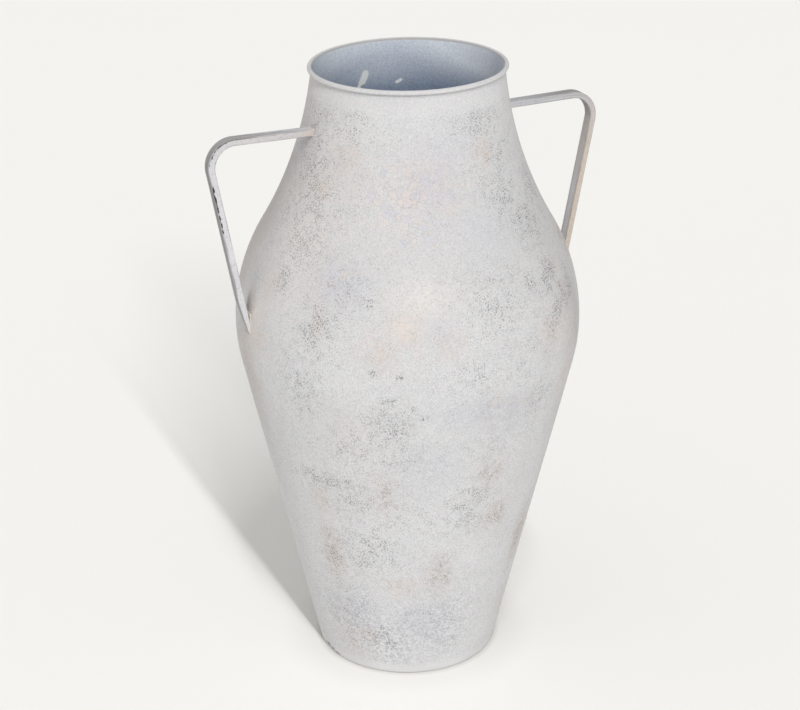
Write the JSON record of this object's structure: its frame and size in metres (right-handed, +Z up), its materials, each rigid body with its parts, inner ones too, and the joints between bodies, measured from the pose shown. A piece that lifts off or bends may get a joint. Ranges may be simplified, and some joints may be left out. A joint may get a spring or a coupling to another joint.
{
  "type": "metal vase",
  "caption": "Tall sheet-metal vase with a conical belly, rounded girth, narrow beaded mouth and square-shouldered bar handles, for flowers or display.",
  "frame": {"origin": "centre of the ring that the vase stands on, at the resting plane", "axes": "+Z up along the body's axis; the handles lie along X, the right one towards +X"},
  "size_m": [0.331, 0.2756, 0.5],
  "materials": {
    "body_paint": "chalky matt pale grey paint with sponged dark speckle and faint peach and lavender blotches",
    "handle_paint": "matt pale grey paint, rubbed and chipped dark along its edges",
    "weld_paint": "matt cream paint over smoothed weld",
    "inside_primer": "sprayed blue-grey primer, fine overspray grain",
    "rim_steel": "drawn wire, enclosed in the rim"
  },
  "bodies": {
    "root": {"belly_shell": "body_paint", "neck_shell": "body_paint", "rim_wire": "rim_steel", "girth_weld": "inside_primer", "base_disc": "inside_primer", "base_weld": "inside_primer", "handle_right": "handle_paint", "handle_right_neck_weld": "weld_paint", "handle_right_girth_weld": "weld_paint", "handle_left": "handle_paint", "handle_left_neck_weld": "weld_paint", "handle_left_girth_weld": "weld_paint"}
  },
  "joints": []
}
